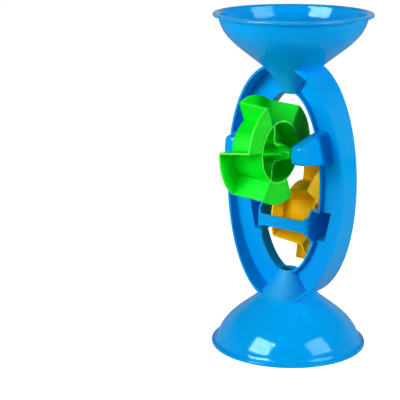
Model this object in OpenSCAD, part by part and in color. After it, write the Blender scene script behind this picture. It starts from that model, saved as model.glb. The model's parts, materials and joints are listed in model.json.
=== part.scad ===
// Sand wheel toy: a stand with a hopper on top, the same bowl upside down as its base, and
// an oval frame between them that carries two bucket wheels, one in front and one behind.
//
// Axes: X runs along the wheel axles, -Y is the front, Z is up. The middle of the base's
// rim, where the stand meets the sand, is the origin. The stand is the same when it is
// turned half a turn about the X line through its middle, so the lower half reuses the
// upper half's modules.

/* [Hopper and base bowls] */

// Overall height, base rim to hopper rim
stand_h = 344; // [330:1:360]
// Outer radius of each bowl's rim
rim_r = 80; // [76:1:84]
// Thickness of the rim's flange
rim_t = 3.2; // [2.5:0.1:4]
// How far the rim's flange stands out past the bowl
flange_w = 5.6; // [4:0.1:7]
// Height of each bowl with its spout
bowl_h = 80; // [78:1:80]
// Outer radius of the spout's mouth
spout_r = 10; // [9:0.5:11]
// Wall of the mouldings
wall = 2; // [1.8:0.1:2.4]
// Depth at which the bowl's side starts to draw in, as a share of its height
shoulder_share = 0.45; // [0.4:0.01:0.5]
// Depth from which the spout grows out of the bowl's floor, as a share of its height
floor_share = 0.55; // [0.5:0.01:0.6]

/* [Oval frame] */

// Half width of the frame's oval, outside
oval_x = 71.8; // [68:0.2:76]
// How far the outer oval reaches past each spout's mouth
oval_over = 32.4; // [30:0.2:36]
// Thickness of the outer band
band_t = 2.6; // [2:0.1:3.2]
// Half depth of the outer band at the middle of the frame
band_y = 11.7; // [10:0.1:12]
// Half depth of the outer band where it meets the bowls
band_end_y = 24.5; // [20:0.5:26]
// Half width of the window
window_x = 39.5; // [38:0.5:41]
// How far the window's ends rise past the spouts' mouths
window_over = 2; // [1:0.5:3]
// Thickness of the lining round the window
lining_t = 2.2; // [2:0.1:3]
// Half depth of the lining
lining_y = 7; // [6:0.5:8]
// Thickness of the web between band and lining
web_t = 2; // [1.6:0.1:2.4]

/* [Wheel brackets] */

// Distance of each axle in front of or behind the web
axle_y = 44.4; // [42:0.1:46]
// Height of the upper axle over the middle of the stand
axle_z = 40.8; // [40:0.1:43]
// Half width of the gap between the two brackets of a wheel, at the web
cheek_x = 29.5; // [28:0.5:30]
// Outermost reach of a bracket at the web
heel_x = 52; // [50:0.5:53]
// How much the bracket's outer side leans in, from one end to the other
heel_lean = 7; // [5:0.5:8]
// Distance of the nose's inner side from the middle
nose_in = 33; // [32.5:0.1:34]
// Width of the nose
nose_w = 15.3; // [14.5:0.1:16]
// Corner radius of the nose seen from above
nose_c = 4.6; // [4:0.1:5]
// How far the nose reaches past the axle
tip_reach = 6.6; // [6:0.1:8]
// Half height of the nose
tip_h = 9.8; // [9:0.1:11]
// Corner radius of the nose seen from the side
tip_c = 4; // [3:0.5:5]
// Slope of the bracket's top and bottom
taper = 9; // [7:0.5:10]
// Radial play of an axle pin in its bearing bore
pin_play = 0.05; // [0.03:0.01:0.09]
// Wall of the boss round the bore
boss_wall = 1.9; // [1.5:0.1:2.2]

/* [Crossbars] */

// Height of a crossbar
bar_h = 12; // [10:0.5:14]
// Height of its flared ends
bar_end_h = 13.5; // [13:0.5:16]
// Length of each flare
bar_flare = 4; // [3:0.5:8]
// Running gap between a wheel and the crossbar behind it
bar_gap = 4.9; // [3:0.1:6]
// Outer radius of the bend at each end of a crossbar
bend_r = 5; // [4:0.5:6]
// Width of the shallow channel along the bar
groove_w = 5; // [4:0.5:7]
// Depth of the channel
groove_d = 0.6; // [0.4:0.1:1]

/* [Wheels] */

// Radius at the blade tips and the bucket sides
wheel_r = 52.5; // [50:0.5:53]
// Outer radius of the drum
drum_r = 31.5; // [30:0.5:32]
// Length of the drum
wheel_w = 36; // [34:0.5:38]
// Number of blades, which is even
blades = 6; // [4:2:8]
// Wall of blades, bucket sides and drum
blade_t = 1.8; // [1.6:0.1:2]
// How far each blade end swings from its mean line, as mould draft
blade_skew = 2.2; // [1:0.1:2.4]
// Angle of the first blade of the front wheel, from level, nose up
front_turn = 5.4; // [0:0.1:60]
// Angle of the first blade of the rear wheel
rear_turn = 37.4; // [0:0.1:60]
// Distance of the curved walls in the drum's ends from the wheel's middle
pocket_u = 12; // [11:0.5:13]
// Distance of the curved walls from the drum's middle rib
pocket_v = 8.5; // [8:0.5:10]
// Radius of the curved walls' corners
pocket_c = 6; // [5:0.5:6]
// Hub radius at the drum's web
hub_r = 13; // [11:0.5:14]
// Hub radius at its outer ends
hub_end_r = 4.6; // [4.2:0.1:6]
// Gap between the hub's shoulder and the bracket's nose
hub_gap = 1.6; // [1.2:0.1:3]
// Distance of the middle rib's top from the wheel's middle, at the hub
rib_x = 29; // [24:0.5:29.5]
// Diameter of the axle pins
pin_d = 6; // [5:0.2:6.4]
// Length of each pin inside its bracket
pin_bite = 4; // [3:0.5:5]

/* [Hidden] */

$fn = 96;
over = 1;
far = 2 * stand_h;
mid_z = stand_h / 2;
bowl_steps = 28;
oval_steps = 120;
pitch = 360 / blades;
end_play = 1.2;
bowl_r = rim_r - flange_w;
oval_z = mid_z - bowl_h + oval_over;
window_z = mid_z - bowl_h + window_over;
bore_d = pin_d + 2 * pin_play;
boss_d = bore_d + 2 * boss_wall;
bar_y = wheel_r - axle_y + bar_gap + wall;
hub_x = nose_in - hub_gap;
pin_x = nose_in + pin_bite;
nose_out = nose_in + nose_w;
land_h = 2;
lip_drop = 0.8;
shoulder_draw = 5;
floor_spread = 14;
nose_trim = 0.3;

// The bowl's outer line, in radius and depth under the rim.
BOWL = [
    [bowl_r, rim_t + lip_drop],
    [bowl_r - shoulder_draw, bowl_h * shoulder_share],
    [spout_r + floor_spread, bowl_h * floor_share],
    [spout_r, bowl_h]
];

// A circle whose edge runs band_y from the web at the middle and band_end_y at the ends.
waist_rise = band_end_y - band_y;
waist_r = (oval_z * oval_z + waist_rise * waist_rise) / (2 * waist_rise);

tip_y = axle_y + tip_reach - tip_c;
root_h = tip_h - tip_c + (tip_c + tip_y * sin(taper)) / cos(taper);
nose_y = axle_y + tip_reach + nose_trim - nose_c;

function bezier(t, p) =
    pow(1 - t, 3) * p[0] + 3 * t * pow(1 - t, 2) * p[1]
    + 3 * t * t * (1 - t) * p[2] + pow(t, 3) * p[3];

function bezier_way(t, p) =
    3 * pow(1 - t, 2) * (p[1] - p[0]) + 6 * t * (1 - t) * (p[2] - p[1])
    + 3 * t * t * (p[3] - p[2]);

function inward(v) = [-v[1], v[0]] / norm(v);

function ellipse_points(a, b) =
    [for (i = [0 : oval_steps - 1]) [a * cos(360 * i / oval_steps), b * sin(360 * i / oval_steps)]];

// A point in a wheel's own plane: blade k at radius r, swung sideways by s.
function blade_point(k, r, s) =
    let (a = k * pitch) [r * cos(a) - s * sin(a), r * sin(a) + s * cos(a)];

// Hopper and base

// A bowl from its rim at z = 0 up to the spout's mouth at z = bowl_h.
module bowl() {
    outer = [for (i = [0 : bowl_steps]) bezier(i / bowl_steps, BOWL)];
    inner = [
        for (i = [bowl_steps - 1 : -1 : 0])
            let (t = i / bowl_steps)
            bezier(t, BOWL) + wall * inward(bezier_way(t, BOWL))
    ];
    rotate_extrude()
        polygon(concat(
            [[bowl_r - wall, 0], [rim_r, 0], [rim_r, rim_t], [bowl_r, rim_t]],
            outer,
            [[spout_r - wall, bowl_h], [spout_r - wall, bowl_h - land_h]],
            inner
        ));
}

// The bowl filled in, for cutting what runs into it.
module bowl_solid() {
    outer = [for (i = [0 : bowl_steps]) bezier(i / bowl_steps, BOWL)];
    rotate_extrude()
        polygon(concat([[0, 0], [rim_r, 0], [rim_r, rim_t], [bowl_r, rim_t]], outer, [[0, bowl_h]]));
}

module at_top() {
    translate([0, 0, stand_h])
        mirror([0, 0, 1])
            children();
}

module hopper() {
    color("DodgerBlue")
        at_top()
            bowl();
}

module base() {
    color("DodgerBlue")
        bowl();
}

// Oval frame

// An upright oval plate in the frame's plane.
module oval_plate(a, b, depth) {
    translate([0, 0, mid_z])
        rotate([90, 0, 0])
            linear_extrude(height = depth, center = true)
                polygon(ellipse_points(a, b));
}

module oval_ring(a, b, t, depth) {
    difference() {
        oval_plate(a, b, depth);
        oval_plate(a - t, b - t, depth + 2 * over);
    }
}

module outer_band() {
    difference() {
        oval_ring(oval_x, oval_z, band_t, 2 * (band_end_y + over));
        for (side = [-1, 1])
            translate([0, side * (band_y + waist_r), mid_z])
                rotate([0, 90, 0])
                    cylinder(r = waist_r, h = 2 * oval_x + 2 * over, center = true, $fn = 360);
    }
}

module web() {
    difference() {
        oval_plate(oval_x - band_t / 2, oval_z - band_t / 2, web_t);
        oval_plate(window_x + lining_t / 2, window_z + lining_t / 2, web_t + 2 * over);
    }
}

// The right half of the oval, cut to fit the bowls and the brackets.
module arm() {
    intersection() {
        difference() {
            union() {
                outer_band();
                web();
                oval_ring(window_x + lining_t, window_z + lining_t, lining_t, 2 * lining_y);
            }
            bowl_solid();
            at_top()
                bowl_solid();
            upper(0)
                post(0);
            lower(0)
                post(0);
        }
        translate([0, -far / 2, -far / 2])
            cube(far);
    }
}

module right_arm() {
    color("DeepSkyBlue")
        arm();
}

module left_arm() {
    color("DeepSkyBlue")
        mirror([1, 0, 0])
            arm();
}

// Wheel brackets

// Each bracket and crossbar is drawn with the upper axle's line as its origin. These two
// place it at the upper axle, or turned over at the lower one.
module upper(left) {
    translate([0, 0, mid_z + axle_z])
        mirror([left, 0, 0])
            children();
}

module lower(left) {
    translate([0, 0, mid_z - axle_z])
        mirror([left, 0, 0])
            rotate([180, 0, 0])
                children();
}

// The bracket's three outlines, each pulled in by `inset`. Seen from above it is a post
// that narrows to a blunt nose, from the side it tapers to a blunt end past the axle, and
// from the front its outer side leans with the frame. The side outline trims the nose a
// little.
module plan_prism(inset) {
    linear_extrude(height = 4 * root_h, center = true) {
        polygon([
            [cheek_x + inset, bar_y],
            [heel_x - inset, bar_y],
            [heel_x - inset, 0],
            [nose_out - inset, -nose_y],
            [nose_in + inset, -nose_y],
            [cheek_x + inset, 0]
        ]);
        for (x = [nose_in + nose_c, nose_out - nose_c])
            translate([x, -nose_y])
                circle(r = nose_c - inset);
        translate([nose_in + nose_c, -nose_y - nose_c + inset])
            square([nose_w - 2 * nose_c, nose_c - inset]);
    }
}

module side_prism(inset) {
    near = root_h - inset;
    round_r = tip_c - inset;
    edge = [tip_y + round_r * sin(taper), tip_h - tip_c + round_r * cos(taper)];
    rotate([90, 0, 90])
        linear_extrude(height = far, center = true) {
            polygon([
                [bar_y, near], [0, near], [-edge[0], edge[1]],
                [-edge[0], -edge[1]], [0, -near], [bar_y, -near]
            ]);
            for (side = [-1, 1])
                translate([-tip_y, side * (tip_h - tip_c)])
                    circle(r = round_r);
            translate([-tip_y - round_r, tip_c - tip_h])
                square([round_r, 2 * (tip_h - tip_c)]);
        }
}

module front_prism(inset) {
    rotate([90, 0, 0])
        linear_extrude(height = far, center = true)
            polygon([
                [cheek_x + inset, -root_h + inset],
                [heel_x - inset, -root_h + inset],
                [heel_x - heel_lean - inset, root_h - inset],
                [cheek_x + inset, root_h - inset]
            ]);
}

module post(inset) {
    intersection() {
        plan_prism(inset);
        side_prism(inset);
        front_prism(inset);
    }
}

// All of a bracket that lies in front of the plane y.
module ahead_of(y) {
    intersection() {
        children();
        translate([0, y - far / 2, 0])
            cube([far, far, far], center = true);
    }
}

// The upper right bracket, with the axle line as its origin.
module bracket() {
    color("RoyalBlue")
        difference() {
            union() {
                difference() {
                    ahead_of(web_t / 2)
                        post(0);
                    post(wall);
                }
                bracket_collar();
                intersection() {
                    translate([cheek_x, -axle_y, 0])
                        rotate([0, 90, 0])
                            cylinder(d = boss_d, h = nose_out - cheek_x);
                    post(0);
                }
            }
            translate([cheek_x - over, -axle_y, 0])
                rotate([0, 90, 0])
                    cylinder(d = bore_d, h = pin_x + end_play - cheek_x + over);
        }
}

// The wall round the bracket's open back: it makes good the window's lining, and beside
// the window it reaches on to the end of the crossbar.
module bracket_collar() {
    intersection() {
        difference() {
            post(0);
            post(wall);
        }
        union() {
            intersection() {
                translate([0, 0, -mid_z - axle_z])
                    oval_plate(window_x + lining_t, window_z + lining_t, 2 * lining_y);
                translate([0, 0, -far / 2])
                    cube(far);
            }
            intersection() {
                bar_ramp();
                translate([cheek_x, 0, -far / 2])
                    cube([wall, bar_y - bend_r, far]);
            }
        }
    }
}

// The outline that brings a bracket's height down to the crossbar's, seen from the side.
module bar_ramp() {
    foot = root_h - wall;
    rotate([90, 0, 90])
        linear_extrude(height = far, center = true)
            polygon([
                [0, -root_h], [lining_y, -root_h], [lining_y, -foot], [bar_y, -bar_end_h / 2],
                [bar_y, bar_end_h / 2], [lining_y, foot], [lining_y, root_h], [0, root_h]
            ]);
}

module upper_left_bracket() {
    upper(1)
        bracket();
}

module upper_right_bracket() {
    upper(0)
        bracket();
}

module lower_left_bracket() {
    lower(1)
        bracket();
}

module lower_right_bracket() {
    lower(0)
        bracket();
}

// Crossbars

// A crossbar's outline from above: a strap whose ends bend round to meet the brackets.
module strap() {
    bend_x = cheek_x + wall - bend_r;
    bend_y = bar_y - bend_r;
    translate([-bend_x, bar_y - wall])
        square([2 * bend_x, wall]);
    for (side = [0, 1])
        mirror([side, 0])
            translate([bend_x, bend_y])
                intersection() {
                    difference() {
                        circle(r = bend_r);
                        circle(r = bend_r - wall);
                    }
                    square(bend_r);
                }
}

// The bar that ties two brackets together behind the upper wheel.
module crossbar() {
    flare_x = cheek_x + wall - bend_r;
    long = flare_x - bar_flare;
    reach = flare_x + 2 * bend_r;
    color("CornflowerBlue")
        difference() {
            intersection() {
                linear_extrude(height = 2 * root_h, center = true)
                    strap();
                bar_ramp();
                rotate([90, 0, 0])
                    linear_extrude(height = far, center = true)
                        polygon([
                            [-reach, -root_h], [-flare_x, -root_h], [-flare_x, -bar_end_h / 2],
                            [-long, -bar_h / 2], [long, -bar_h / 2], [flare_x, -bar_end_h / 2],
                            [flare_x, -root_h], [reach, -root_h], [reach, root_h],
                            [flare_x, root_h], [flare_x, bar_end_h / 2], [long, bar_h / 2],
                            [-long, bar_h / 2], [-flare_x, bar_end_h / 2], [-flare_x, root_h],
                            [-reach, root_h]
                        ]);
            }
            translate([-flare_x, bar_y - groove_d, -groove_w / 2])
                cube([2 * flare_x, groove_d + over, groove_w]);
        }
}

module upper_crossbar() {
    upper(0)
        crossbar();
}

module lower_crossbar() {
    lower(0)
        crossbar();
}

// Wheels

// A wheel lies on its side here, with its axle along z and its first blade along x. The
// end at z < 0 is the one that faces the stand's right.

module rounded_slab(w, h, c) {
    square([w - 2 * c, h], center = true);
    square([w, h - 2 * c], center = true);
    for (x = [-1, 1], y = [-1, 1])
        translate([x * (w / 2 - c), y * (h / 2 - c)])
            circle(r = c);
}

// The outline of the two pockets that the curved walls close off, grown by `grow`.
module pocket_outline(grow) {
    reach = drum_r + pocket_c;
    intersection() {
        circle(r = drum_r - blade_t / 2);
        for (side = [-1, 1])
            translate([0, side * (pocket_v + reach) / 2])
                rounded_slab(2 * (pocket_u + grow), reach - pocket_v + 2 * grow, pocket_c + grow);
    }
}

// The drum: a tube with a web across its middle. A hub, a middle rib and two curved walls
// stand on each side of the web. Each wall runs from the hub to the tube.
module drum() {
    difference() {
        cylinder(r = drum_r, h = wheel_w, center = true);
        for (side = [0, 1])
            mirror([0, 0, side])
                translate([0, 0, blade_t / 2])
                    cylinder(r = drum_r - blade_t, h = wheel_w);
    }
    for (side = [0, 1])
        mirror([0, 0, side]) {
            linear_extrude(height = wheel_w / 2)
                intersection() {
                    difference() {
                        pocket_outline(blade_t);
                        pocket_outline(0);
                    }
                    translate([0, -drum_r])
                        square(2 * drum_r);
                }
            middle_rib();
            cylinder(r1 = hub_r, r2 = hub_end_r, h = hub_x);
        }
    cylinder(d = pin_d, h = 2 * pin_x, center = true);
}

// The rib that runs across a drum's end and rises to the hub.
module middle_rib() {
    edge = drum_r - blade_t / 2;
    rotate([90, 0, 0])
        linear_extrude(height = blade_t, center = true)
            polygon([
                [-edge, 0], [edge, 0], [edge, wheel_w / 2], [hub_end_r, rib_x],
                [-hub_end_r, rib_x], [-edge, wheel_w / 2]
            ]);
}

// Six blades, swung to and fro by the draft of their buckets.
module blade_set() {
    swing = atan(2 * blade_skew / wheel_w);
    intersection() {
        difference() {
            cylinder(r = wheel_r, h = wheel_w, center = true);
            cylinder(r = drum_r, h = wheel_w + 2 * over, center = true);
        }
        for (k = [0 : blades - 1])
            rotate([0, 0, k * pitch])
                rotate([k % 2 == 0 ? swing : -swing, 0, 0])
                    translate([drum_r / 2, -blade_t / 2, -wheel_w])
                        cube([wheel_r, blade_t, 2 * wheel_w]);
    }
}

// One side of the bucket between blade k and the next, on the end where they stand closer.
module bucket_side(k) {
    right = k % 2 == 0;
    draw = right ? blade_skew : -blade_skew;
    near = drum_r / 2;
    intersection() {
        translate([0, 0, right ? -wheel_w / 2 : wheel_w / 2 - blade_t])
            difference() {
                cylinder(r = wheel_r, h = blade_t);
                translate([0, 0, -over])
                    cylinder(r = drum_r, h = blade_t + 2 * over);
            }
        linear_extrude(height = 2 * wheel_w, center = true)
            polygon([
                blade_point(k, near, abs(draw)), blade_point(k, 2 * wheel_r, abs(draw)),
                blade_point(k + 1, 2 * wheel_r, -abs(draw)), blade_point(k + 1, near, -abs(draw))
            ]);
    }
}

// The six buckets, which the drum carries round its outside.
module bucket_ring() {
    blade_set();
    for (k = [0 : blades - 1])
        bucket_side(k);
}

// Turns a wheel so that its axle lies along X and its first blade points to the front.
module on_axle(turn) {
    rotate([90, 0, -90])
        rotate([0, 0, turn])
            children();
}

module at_front_axle() {
    translate([0, -axle_y, mid_z + axle_z])
        on_axle(front_turn)
            children();
}

module at_rear_axle() {
    translate([0, axle_y, mid_z - axle_z])
        on_axle(rear_turn)
            children();
}

module green_drum() {
    color("LimeGreen")
        at_front_axle()
            drum();
}

module green_buckets() {
    color("Lime")
        at_front_axle()
            bucket_ring();
}

module yellow_drum() {
    color("Gold")
        at_rear_axle()
            drum();
}

module yellow_buckets() {
    color("Yellow")
        at_rear_axle()
            bucket_ring();
}

hopper();
base();
left_arm();
right_arm();
upper_left_bracket();
upper_right_bracket();
lower_left_bracket();
lower_right_bracket();
upper_crossbar();
lower_crossbar();
green_drum();
green_buckets();
yellow_drum();
yellow_buckets();
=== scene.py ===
import json
import math

import bmesh
import bpy
from mathutils import Matrix, Vector
from mathutils.bvhtree import BVHTree
from mathutils.geometry import interpolate_bezier

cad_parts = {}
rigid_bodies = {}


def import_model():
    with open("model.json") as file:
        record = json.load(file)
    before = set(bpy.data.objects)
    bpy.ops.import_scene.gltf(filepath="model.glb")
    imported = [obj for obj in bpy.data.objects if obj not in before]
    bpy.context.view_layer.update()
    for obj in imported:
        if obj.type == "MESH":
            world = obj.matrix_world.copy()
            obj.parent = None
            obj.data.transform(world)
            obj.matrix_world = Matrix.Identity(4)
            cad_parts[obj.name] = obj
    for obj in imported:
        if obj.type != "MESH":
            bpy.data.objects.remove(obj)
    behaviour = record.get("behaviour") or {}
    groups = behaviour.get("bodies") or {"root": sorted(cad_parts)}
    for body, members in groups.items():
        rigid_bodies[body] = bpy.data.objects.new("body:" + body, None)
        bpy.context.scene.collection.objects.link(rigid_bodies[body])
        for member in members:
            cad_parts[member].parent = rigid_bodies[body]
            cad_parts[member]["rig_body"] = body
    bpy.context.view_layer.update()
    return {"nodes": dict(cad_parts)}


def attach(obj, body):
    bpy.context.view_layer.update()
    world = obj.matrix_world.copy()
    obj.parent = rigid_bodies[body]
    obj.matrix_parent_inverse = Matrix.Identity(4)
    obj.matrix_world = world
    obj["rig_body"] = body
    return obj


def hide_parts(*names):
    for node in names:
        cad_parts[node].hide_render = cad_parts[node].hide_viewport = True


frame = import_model()

# The white table and the studio light
# The toy stands on a white table between white walls. One square soft box shines from its
# right and one from the front: both show as squares in the gloss of the hopper and the base.
CAMERA_PLACE = (0.7550, -1.1124, 0.5002)
CAMERA_TURNED = 38.1
CAMERA_DIPPED = 14.53
LIT_POINT = Vector((0.0, 0.0, 0.30))
BOX_DISTANCE = 1.1
CLOTH_ELEVATION = 21.0
CLOTH_WIDTH = 0.70
CLOTH_HEIGHT = 0.86
WALL_LIGHT = 0.08
HORIZON_IN_GLOSS = 0.55
CEILING_IN_GLOSS = 0.12
# How steeply a reflected ray climbs where the horizon ends and where the ceiling starts.
HORIZON_ENDS = 0.25
CEILING_STARTS = 0.45
TABLE_REACH = 6.0
TABLE_TO_THE_EYE = 0.95
TABLE_IN_GLOSS = 0.05
WHITE = (1.0, 1.0, 1.0, 1.0)
PALE_GREY = (0.62, 0.62, 0.62, 1.0)

scene = bpy.context.scene
scene.view_settings.view_transform = "Standard"

camera_data = bpy.data.cameras.new("camera")
camera_data.sensor_width = 36.0
camera_data.lens = 121.9
camera_data.clip_end = 20.0
camera = bpy.data.objects.new("camera", camera_data)
scene.collection.objects.link(camera)
camera.location = CAMERA_PLACE
camera.rotation_euler = (math.radians(90.0 - CAMERA_DIPPED), 0.0, math.radians(CAMERA_TURNED))
scene.camera = camera


def soft_box(name, azimuth, elevation, width, height, power):
    """A flat lamp aimed at the toy. The azimuth runs from the front towards the right."""
    data = bpy.data.lights.new(name, "AREA")
    data.shape = "RECTANGLE"
    data.size = width
    data.size_y = height
    data.energy = power
    lamp = bpy.data.objects.new(name, data)
    scene.collection.objects.link(lamp)
    level = math.cos(math.radians(elevation))
    towards = Vector((math.sin(math.radians(azimuth)) * level,
                      -math.cos(math.radians(azimuth)) * level,
                      math.sin(math.radians(elevation))))
    lamp.location = LIT_POINT + BOX_DISTANCE * towards
    lamp.rotation_euler = (-towards).to_track_quat("-Z", "Y").to_euler()
    lamp.visible_camera = False
    return lamp


# Each soft box is two lamps: a bright cloth that only gloss shows, and the light that it sheds.
for name, azimuth, power in (("right_cloth", 90.0, 38.0), ("front_cloth", -13.5, 104.0)):
    cloth = soft_box(name, azimuth, CLOTH_ELEVATION, CLOTH_WIDTH, CLOTH_HEIGHT, power)
    cloth.visible_diffuse = False
for name, azimuth, elevation, side, power in (("right_light", 103.0, 15.0, 0.36, 10.0),
                                              ("front_light", -14.0, 17.0, 0.62, 12.4)):
    lamp = soft_box(name, azimuth, elevation, side, side, power)
    lamp.visible_glossy = False


def feed(tree, node, inputs):
    """Links each input of a node to the socket given for it, or sets it to the value given."""
    for key, given in inputs.items():
        if isinstance(given, bpy.types.NodeSocket):
            tree.links.new(given, node.inputs[key])
        else:
            node.inputs[key].default_value = given


def add_node(tree, kind, inputs, **settings):
    """A new shader node with its settings made and its inputs fed."""
    node = tree.nodes.new("ShaderNode" + kind)
    for name, value in settings.items():
        setattr(node, name, value)
    feed(tree, node, inputs)
    return node


def seen(tree, by_eye, in_gloss):
    """`by_eye` for rays from the camera, `in_gloss` for rays off a gloss, 0 for all others."""
    ray = add_node(tree, "LightPath", {}).outputs
    gloss = add_node(tree, "Math", {0: ray["Is Glossy Ray"], 1: in_gloss}, operation="MULTIPLY")
    either = add_node(tree, "Math", operation="MULTIPLY_ADD", inputs={
        0: ray["Is Camera Ray"], 1: by_eye, 2: gloss.outputs["Value"]})
    return either.outputs["Value"]


# The eye sees white walls. A gloss shows a pale horizon under a dark ceiling.
world = bpy.data.worlds.new("studio_walls")
scene.world = world
world.use_nodes = True
walls = world.node_tree
walls.nodes.clear()
direction = add_node(walls, "TexCoord", {}).outputs["Generated"]
height = add_node(walls, "SeparateXYZ", {"Vector": direction}).outputs["Z"]
ceiling = add_node(walls, "MapRange", {
    "Value": height, "From Min": HORIZON_ENDS, "From Max": CEILING_STARTS,
    "To Min": HORIZON_IN_GLOSS, "To Max": CEILING_IN_GLOSS})
by_eye = add_node(walls, "LightPath", {}).outputs["Is Camera Ray"]
white = add_node(walls, "Math", {0: by_eye, 1: ceiling.outputs["Result"]}, operation="MAXIMUM")
wall_seen = add_node(walls, "Background", {"Color": WHITE, "Strength": white.outputs["Value"]})
wall_light = add_node(walls, "Background", {"Color": WHITE, "Strength": WALL_LIGHT})
wall_mix = add_node(walls, "MixShader", {
    0: seen(walls, 1.0, 1.0), 1: wall_light.outputs["Background"],
    2: wall_seen.outputs["Background"]})
add_node(walls, "OutputWorld", {"Surface": wall_mix.outputs["Shader"]})


def object_from(name, form):
    """Makes the form an object of the scene, at the origin."""
    mesh = bpy.data.meshes.new(name)
    form.to_mesh(mesh)
    form.free()
    obj = bpy.data.objects.new(name, mesh)
    scene.collection.objects.link(obj)
    return obj


table_form = bmesh.new()
bmesh.ops.create_grid(table_form, x_segments=2, y_segments=2, size=TABLE_REACH)
table = object_from("table", table_form)
table_paint = bpy.data.materials.new("white_table")
table_paint.use_nodes = True
feed(table_paint.node_tree, table_paint.node_tree.nodes["Principled BSDF"], {
    "Base Color": PALE_GREY, "Roughness": 0.8, "Specular IOR Level": 0.0,
    "Emission Color": WHITE,
    "Emission Strength": seen(table_paint.node_tree, TABLE_TO_THE_EYE, TABLE_IN_GLOSS)})
table.data.materials.append(table_paint)

# Hopper and base
# The hopper and the base are one and the same bowl of glossy blue polypropylene, moulded
# with a short spout and a rolled rim. The base is that bowl upside down, so that sand which
# falls past the wheels runs in through its hole.
STAND_HEIGHT = 0.344
RIM_RADIUS = 0.080
RIM_THICKNESS = 0.0032
FLANGE_WIDTH = 0.0056
BOWL_WALL = 0.002
BOWL_DEPTH = 0.080
SPOUT_RADIUS = 0.010
BOWL_RADIUS = RIM_RADIUS - FLANGE_WIDTH
SHOULDER_DEPTH = 0.0040
LIP_ROUNDING = 0.0012
ROLL_ROUNDING = 0.0022
MOUTH_ROUNDING = 0.0005
SOFTNESS = 0.0008
# Radius and depth of the points that pull the wall into a bell and round the rim's lip.
BELLY = (BOWL_RADIUS - 0.005, 0.036)
THROAT = (0.024, 0.044)
LIP_AIM = (BOWL_RADIUS - 0.0006, 0.0003)
LIP_END = (BOWL_RADIUS + LIP_ROUNDING, 0.0001)
ROLL_PULL = (RIM_RADIUS - 0.0010, 0.0)
SPIN_STEPS = 192
MERGED_WITHIN = 0.000002
PLASTIC_IOR = 1.49
PLASTIC_GLOSS = 0.13
FLOW_DULLS = 0.08
BLUE = {"colour": (0.0, 0.33, 0.79), "flow_colour": (0.0, 0.30, 0.75),
        "gloss_tint": (0.45, 0.9, 1.0), "roughness": 0.035, "peel_depth": 0.000005}
SATIN_RADIUS = 0.020
POLISHED_RADIUS = 0.042
SATIN_ROUGHNESS = 0.62


def plastic_marks():
    """What an injection mould leaves in plastic: cloudy flow, soft gloss and fine orange peel."""
    group = bpy.data.node_groups.new("plastic_marks", "ShaderNodeTree")
    for way, kind, names in (
            ("INPUT", "NodeSocketColor", ("Colour", "Flow Colour")),
            ("INPUT", "NodeSocketFloat", ("Flow Amount", "Flow Scale", "Roughness", "Peel Scale")),
            ("OUTPUT", "NodeSocketColor", ("Colour",)),
            ("OUTPUT", "NodeSocketFloat", ("Roughness", "Height"))):
        for name in names:
            group.interface.new_socket(name=name, in_out=way, socket_type=kind)
    given = group.nodes.new("NodeGroupInput").outputs
    result = group.nodes.new("NodeGroupOutput")
    place = add_node(group, "TexCoord", {}).outputs["Object"]
    flow = add_node(group, "TexNoise", {
        "Vector": place, "Scale": given["Flow Scale"], "Detail": 3.0, "Distortion": 0.6})
    share = add_node(group, "Math", {0: flow.outputs["Fac"], 1: given["Flow Amount"]},
                     operation="MULTIPLY")
    tint = add_node(group, "Mix", data_type="RGBA", inputs={
        "Factor": share.outputs["Value"], "A": given["Colour"], "B": given["Flow Colour"]})
    gloss = add_node(group, "Math", operation="MULTIPLY_ADD", inputs={
        0: flow.outputs["Fac"], 1: FLOW_DULLS, 2: given["Roughness"]})
    peel = add_node(group, "TexNoise", {
        "Vector": place, "Scale": given["Peel Scale"], "Detail": 2.0})
    feed(group, result, {"Colour": tint.outputs["Result"], "Roughness": gloss.outputs["Value"],
                         "Height": peel.outputs["Fac"]})
    return group


marks = plastic_marks()


def moulded_plastic(name, colour, flow_colour, gloss_tint, roughness, peel_depth, flow_scale=18.0,
                    flow_amount=0.35, peel_scale=700.0, glow=0.12, reach=0.0015):
    """A moulded plastic. A share `glow` of the light that enters it spreads up to `reach`."""
    paint = bpy.data.materials.new(name)
    paint.use_nodes = True
    tree = paint.node_tree
    moulded = add_node(tree, "Group", node_tree=marks, inputs={
        "Colour": (*colour, 1.0), "Flow Colour": (*flow_colour, 1.0),
        "Flow Amount": flow_amount, "Flow Scale": flow_scale,
        "Roughness": roughness, "Peel Scale": peel_scale})
    relief = add_node(tree, "Bump", {
        "Strength": 1.0, "Distance": peel_depth, "Height": moulded.outputs["Height"]})
    feed(tree, tree.nodes["Principled BSDF"], {
        "Base Color": moulded.outputs["Colour"], "Roughness": moulded.outputs["Roughness"],
        "Normal": relief.outputs["Normal"], "IOR": PLASTIC_IOR,
        "Specular IOR Level": PLASTIC_GLOSS, "Specular Tint": (*gloss_tint, 1.0),
        "Subsurface Weight": glow, "Subsurface Radius": (1.0, 1.0, 1.0),
        "Subsurface Scale": reach})
    return paint


def satin_neck(paint):
    """Makes the plastic less glossy near the stand's middle line, where the spouts are."""
    tree = paint.node_tree
    skin = tree.nodes["Principled BSDF"]
    polished = skin.inputs["Roughness"].links[0].from_socket
    place = add_node(tree, "TexCoord", {}).outputs["Object"]
    across = add_node(tree, "VectorMath", {0: place, 1: (1.0, 1.0, 0.0)}, operation="MULTIPLY")
    radius = add_node(tree, "VectorMath", {0: across.outputs["Vector"]}, operation="LENGTH")
    satin = add_node(tree, "MapRange", interpolation_type="SMOOTHSTEP", inputs={
        "Value": radius.outputs["Value"], "From Min": SATIN_RADIUS, "From Max": POLISHED_RADIUS,
        "To Min": SATIN_ROUGHNESS, "To Max": 0.0})
    duller = add_node(tree, "Math", {0: satin.outputs["Result"], 1: polished},
                      operation="MAXIMUM")
    feed(tree, skin, {"Roughness": duller.outputs["Value"]})
    return paint


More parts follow.
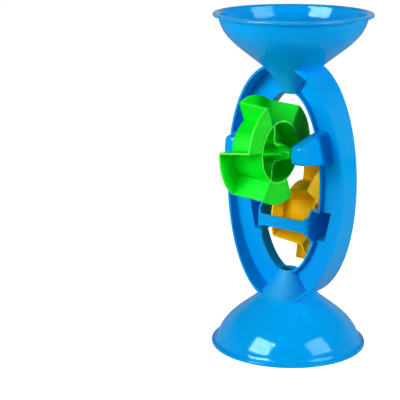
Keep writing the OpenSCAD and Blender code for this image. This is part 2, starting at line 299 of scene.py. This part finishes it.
blue_plastic = moulded_plastic("blue_plastic", **BLUE)
bowl_plastic = satin_neck(moulded_plastic("blue_bowl_plastic", **BLUE))


def curve(start, pull, aim, end, steps):
    """Points of a smooth line in radius and depth, its first point left out."""
    ends = [Vector((r, d, 0.0)) for r, d in (start, pull, aim, end)]
    return [(p.x, p.y) for p in interpolate_bezier(*ends, steps + 1)][1:]


def bowl_outline():
    """The cross-section of the bowl's wall, in radius and in depth under the rim's plane."""
    shoulder = (BOWL_RADIUS, SHOULDER_DEPTH)
    outer = [shoulder] + curve(shoulder, BELLY, THROAT, (SPOUT_RADIUS, BOWL_DEPTH), steps=40)
    inner = []
    for before, here, after in zip(outer, outer[1:], outer[2:]):
        way = Vector((after[0] - before[0], after[1] - before[1])).normalized()
        inner.append((here[0] - way.y * BOWL_WALL, here[1] + way.x * BOWL_WALL))
    lip_pull = (inner[0][0] + SOFTNESS / 2, SOFTNESS)
    lip = curve(inner[0], lip_pull, LIP_AIM, LIP_END, steps=8)
    roll = curve(lip[-1], ROLL_PULL, (RIM_RADIUS, 0.0), (RIM_RADIUS, RIM_THICKNESS / 2), steps=10)
    under = curve(roll[-1], (RIM_RADIUS, RIM_THICKNESS), (RIM_RADIUS - SOFTNESS, RIM_THICKNESS),
                  (RIM_RADIUS - ROLL_ROUNDING, RIM_THICKNESS), steps=8)
    root = curve(under[-1], (BOWL_RADIUS + LIP_ROUNDING, RIM_THICKNESS),
                 (BOWL_RADIUS, RIM_THICKNESS + SOFTNESS), outer[2], steps=6)
    end = BOWL_DEPTH - MOUTH_ROUNDING
    bore = SPOUT_RADIUS - BOWL_WALL
    mouth = [(SPOUT_RADIUS, end), (SPOUT_RADIUS - MOUTH_ROUNDING, BOWL_DEPTH),
             (bore + MOUTH_ROUNDING, BOWL_DEPTH), (bore, end)]
    return lip + roll + under + root + outer[3:-1] + mouth + inner[::-1]


def finished(name, form, paint, smooth_under):
    """An object in its plastic, smooth across edges that turn less than so many degrees."""
    obj = object_from(name, form)
    obj.data.materials.append(paint)
    obj.data.polygons.foreach_set("use_smooth", [True] * len(obj.data.polygons))
    obj.data.set_sharp_from_angle(angle=math.radians(smooth_under))
    return obj


def spun_bowl(name, rim_height, up):
    """The outline spun round the middle line, which rises (1) or hangs (-1) from its rim."""
    form = bmesh.new()
    ring = [form.verts.new((r, 0.0, rim_height + up * depth)) for r, depth in bowl_outline()]
    edges = [form.edges.new((a, b)) for a, b in zip(ring, ring[1:] + ring[:1])]
    bmesh.ops.spin(form, geom=ring + edges, cent=(0.0, 0.0, 0.0), axis=(0.0, 0.0, 1.0),
                   angle=2 * math.pi, steps=SPIN_STEPS, use_merge=True)
    bmesh.ops.remove_doubles(form, verts=form.verts, dist=MERGED_WITHIN)
    bmesh.ops.recalc_face_normals(form, faces=form.faces)
    return finished(name, form, bowl_plastic, smooth_under=50.0)


for node, rim_height, up in (("hopper", STAND_HEIGHT, -1), ("base", 0.0, 1)):
    bowl = spun_bowl(node + "_bowl", rim_height, up)
    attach(bowl, "stand")
    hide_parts(node)

# Oval frame and crossbars
# Two curved arms of the same blue plastic join the bowls: an outer band, a thin web and a
# lining round the window. A crossbar with a shallow channel ties the brackets at each axle.
ARM_ROUNDING = 0.0007
BAR_ROUNDING = 0.0005
SHARP = math.radians(28.0)
FLAT = math.radians(1.0)
TOUCHING = 0.00015


def nodes_of(body):
    """The CAD nodes of one rigid body."""
    return [node for node, obj in frame["nodes"].items() if obj["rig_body"] == body]


def surface_of(node):
    """A CAD node's surface, to ask what touches it."""
    mesh = frame["nodes"][node].data
    return BVHTree.FromPolygons([v.co for v in mesh.vertices],
                                [p.vertices[:] for p in mesh.polygons])


def merged_copy(node):
    """A CAD node's form as one closed skin, with its flat faces whole again."""
    form = bmesh.new()
    form.from_mesh(frame["nodes"][node].data)
    bmesh.ops.remove_doubles(form, verts=form.verts, dist=MERGED_WITHIN)
    bmesh.ops.dissolve_limit(form, angle_limit=FLAT, verts=form.verts, edges=form.edges,
                             use_dissolve_boundaries=False)
    return form


def round_edges(form, node, rounding, body):
    """Rounds a form's sharp edges, except where the node joins the others of its body."""
    others = [surface_of(other) for other in nodes_of(body) if other != node]
    joints = {v for v in form.verts if any(s.find_nearest(v.co, TOUCHING)[0] for s in others)}
    sharp = [e for e in form.edges
             if e.is_manifold and e.calc_face_angle(0.0) > SHARP
             and not joints.issuperset(e.verts)]
    bmesh.ops.bevel(form, geom=sharp, offset=rounding, offset_type="OFFSET", segments=3,
                    profile=0.5, affect="EDGES", clamp_overlap=True, material=-1)


def moulded_piece(node, form, paint):
    """What shows in place of a CAD node, shaded evenly across its small roundings."""
    piece = finished(node + "_moulded", form, paint, smooth_under=35.0)
    piece.modifiers.new("even_shading", "WEIGHTED_NORMAL").keep_sharp = True
    return piece


def stand_piece(node, form):
    """A piece of the stand in its blue plastic."""
    piece = moulded_piece(node, form, blue_plastic)
    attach(piece, "stand")
    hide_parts(node)


for node, rounding in (("left_arm", ARM_ROUNDING), ("right_arm", ARM_ROUNDING),
                       ("upper_crossbar", BAR_ROUNDING), ("lower_crossbar", BAR_ROUNDING)):
    form = merged_copy(node)
    round_edges(form, node, rounding, "stand")
    stand_piece(node, form)

# Wheel brackets
# Each bracket is a hollow horn with soft edges that grows out of the web and narrows to a
# blunt nose. Inside the nose a boss with a blind bore holds one of the wheel's pins.
WEB_FACE = 0.001
AXLE_FORWARD = 0.0444
AXLE_HEIGHT = 0.2128
HORN_REACH = 0.0510
HORN_WALL = 0.002
HORN_ROUNDING = 0.0040
ROOT_ROUNDING = 0.0006
BOSS_RADIUS = 0.00495
BOSS_ENDS = (0.0340, 0.0465)
BORE_RADIUS = 0.00305
BORE_ENDS = (0.0300, 0.0382)
HAIR = 0.000001
# The horn's outline at the web and at its nose: half its height, and then how far across
# its inner side, its outer corner below and its outer corner above are.
HORN_ROOT = (0.01714, 0.02957, 0.05192, 0.04503)
HORN_NOSE = (0.00922, 0.03332, 0.04796, 0.04664)


def axle_rod(name, radius, ends):
    """A round bar along the upper axle, between two distances from the middle."""
    start, end = ends
    form = bmesh.new()
    place = (Matrix.Translation(((start + end) / 2, -AXLE_FORWARD, AXLE_HEIGHT))
             @ Matrix.Rotation(math.pi / 2, 4, "Y"))
    bmesh.ops.create_cone(form, cap_ends=True, segments=64, radius1=radius, radius2=radius,
                          depth=end - start, matrix=place)
    return object_from(name, form)


def horn_mesh():
    """The upper right horn, from the web's face to the nose, with its boss and bore."""
    form = bmesh.new()
    bmesh.ops.create_cube(form, size=2.0)
    for v in form.verts:
        outer, back, level = (round(c) for c in v.co)
        half_height, inside, below, above = HORN_ROOT if back > 0 else HORN_NOSE
        outside = above if level > 0 else below
        v.co = (outside if outer > 0 else inside, -WEB_FACE if back > 0 else -HORN_REACH,
                AXLE_HEIGHT + level * half_height)
    at_web = {v for v in form.verts if v.co.y > -HORN_REACH / 2}
    soft = [e for e in form.edges if not at_web.issuperset(e.verts)]
    bmesh.ops.bevel(form, geom=soft, offset=HORN_ROUNDING, offset_type="OFFSET", segments=8,
                    profile=0.5, affect="EDGES", clamp_overlap=True, material=-1)
    open_back = [f for f in form.faces if all(v.co.y > -WEB_FACE - HAIR for v in f.verts)]
    bmesh.ops.delete(form, geom=open_back, context="FACES_ONLY")
    bmesh.ops.recalc_face_normals(form, faces=form.faces)
    horn = object_from("horn", form)
    shell = horn.modifiers.new("wall", "SOLIDIFY")
    shell.thickness = HORN_WALL
    shell.offset = -1.0
    shell.use_even_offset = True
    boss = axle_rod("boss", BOSS_RADIUS, BOSS_ENDS)
    bore = axle_rod("bore", BORE_RADIUS, BORE_ENDS)
    for name, tool, way in (("boss", boss, "UNION"), ("bore", bore, "DIFFERENCE")):
        cut = horn.modifiers.new(name, "BOOLEAN")
        cut.object = tool
        cut.operation = way
        cut.solver = "EXACT"
    shaped = horn.evaluated_get(bpy.context.evaluated_depsgraph_get())
    mesh = bpy.data.meshes.new_from_object(shaped)
    for obj in (horn, boss, bore):
        bpy.data.meshes.remove(obj.data)
    return mesh


def keep_root(form, front):
    """Cuts a bracket off at the web's face and closes the root that stays in the web."""
    bmesh.ops.bisect_plane(form, geom=form.verts[:] + form.edges[:] + form.faces[:],
                           dist=HAIR, plane_co=(0.0, front * WEB_FACE, 0.0),
                           plane_no=(0.0, front, 0.0), clear_outer=True)
    bmesh.ops.triangle_fill(form, use_beauty=True, edges=[e for e in form.edges if e.is_boundary])
    bmesh.ops.recalc_face_normals(form, faces=form.faces)


def add_horn(form, mesh, hand, front):
    """Adds the horn, mirrored for the left side and turned over for the yellow wheel."""
    own = set(form.verts)
    form.from_mesh(mesh)
    added = [v for v in form.verts if v not in own]
    if hand < 0:
        bmesh.ops.scale(form, vec=(-1.0, 1.0, 1.0), verts=added)
        bmesh.ops.reverse_faces(form, faces=list({f for v in added for f in v.link_faces}))
    if front > 0:
        bmesh.ops.rotate(form, cent=(0.0, 0.0, STAND_HEIGHT / 2),
                         matrix=Matrix.Rotation(math.pi, 3, "X"), verts=added)


horn = horn_mesh()
for level, front in (("upper", -1), ("lower", 1)):
    for side, hand in (("left", -1), ("right", 1)):
        node = level + "_" + side + "_bracket"
        form = merged_copy(node)
        keep_root(form, front)
        round_edges(form, node, ROOT_ROUNDING, "stand")
        add_horn(form, horn, hand, front)
        stand_piece(node, form)
bpy.data.meshes.remove(horn)

# Wheels
# Each wheel is one moulding: a drum with a web across its middle, a hub with two axle pins
# and six buckets, whose flat sides are finely grained. The thin edges of its walls carry
# painted glow and highlight: a paler tone painted on them. The green wheel runs in front,
# the yellow one behind.
TIP_RADIUS = 0.0525
DRUM_RADIUS = 0.0315
WHEEL_WALL = 0.0018
WHEEL_FACE = 0.018
WHEEL_ROUNDING = 0.0007
DRUM_INSIDE = DRUM_RADIUS - 1.2 * WHEEL_WALL
# A point this near to a plane or a circle counts as on it, and a flat side that comes this
# near to the tips is a bucket's.
FLUSH = 0.0002
TIP_BAND = 0.002
# The third plastic paints glow and highlight onto thin edges as a paler tone.
SMOOTH, GRAINED, EDGE_PAINTED_GLOW = range(3)
# How much of its wheel's bright and pale tones a speck of the grain takes, and how much of
# the deep one the hollow beside it.
SPECK_BRIGHT = 0.85
SPECK_PALE = 0.31
HOLLOW_DEEP = 0.60
# A wheel's name, body and axle, then the tint of its gloss, its bright, deep and pale tones.
# The pale tone is painted glow on thin edges, and the grain's specks take some of it.
WHEELS = (
    ("green", "front_wheel", (-AXLE_FORWARD, AXLE_HEIGHT), (0.05, 1.0, 0.15),
     (0.0, 0.72, 0.010), (0.0, 0.65, 0.007), (0.10, 0.80, 0.06)),
    ("yellow", "rear_wheel", (AXLE_FORWARD, STAND_HEIGHT - AXLE_HEIGHT), (1.0, 0.75, 0.05),
     (1.0, 0.50, 0.0), (1.0, 0.46, 0.0), (1.0, 0.62, 0.04)),
)


def wheel_plastics(colour, tint, bright, deep, pale):
    """Smooth plastic, the grained one of the buckets' flat sides and painted glow for thin edges.
    """
    speck = [min(1.0, SPECK_BRIGHT * a + SPECK_PALE * b) for a, b in zip(bright, pale)]
    hollow = [HOLLOW_DEEP * c for c in deep]
    return (
        moulded_plastic(colour + "_plastic", bright, deep, tint, roughness=0.34,
                        peel_depth=0.00001, glow=0.7, reach=0.005),
        moulded_plastic(colour + "_grained", speck, hollow, tint, roughness=0.4,
                        peel_depth=0.00006, peel_scale=1500.0, flow_scale=420.0,
                        flow_amount=0.9, glow=0.7, reach=0.005),
        # A paler tone: painted glow and highlight on thin edges.
        moulded_plastic(colour + "_edge_painted_glow", pale, bright, tint, roughness=0.3,
                        peel_depth=0.00001),
    )


def wheel_finish(face, axle):
    """Which of the wheel's three plastics a face shows."""
    radii = [math.hypot(v.co.y - axle[0], v.co.z - axle[1]) for v in face.verts]
    depth = WHEEL_FACE - abs(face.calc_center_median().x)
    # Bucket tips, the drum's end rings and the faces flush with the wheel's ends that stop short
    # of the tips get painted glow.
    if min(radii) > TIP_RADIUS - WHEEL_WALL / 2:
        return EDGE_PAINTED_GLOW
    if min(radii) > DRUM_INSIDE and max(radii) < DRUM_RADIUS + FLUSH:
        return EDGE_PAINTED_GLOW if depth < WHEEL_WALL / 2 else SMOOTH
    if abs(depth) < FLUSH:
        return GRAINED if max(radii) > TIP_RADIUS - TIP_BAND else EDGE_PAINTED_GLOW
    return SMOOTH


for colour, body, axle, *tones in WHEELS:
    plastics = wheel_plastics(colour, *tones)
    for node in nodes_of(body):
        form = merged_copy(node)
        round_edges(form, node, WHEEL_ROUNDING, body)
        for f in form.faces:
            f.material_index = wheel_finish(f, axle)
        piece = moulded_piece(node, form, plastics[SMOOTH])
        piece.data.materials.append(plastics[GRAINED])
        piece.data.materials.append(plastics[EDGE_PAINTED_GLOW])
        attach(piece, body)
        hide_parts(node)
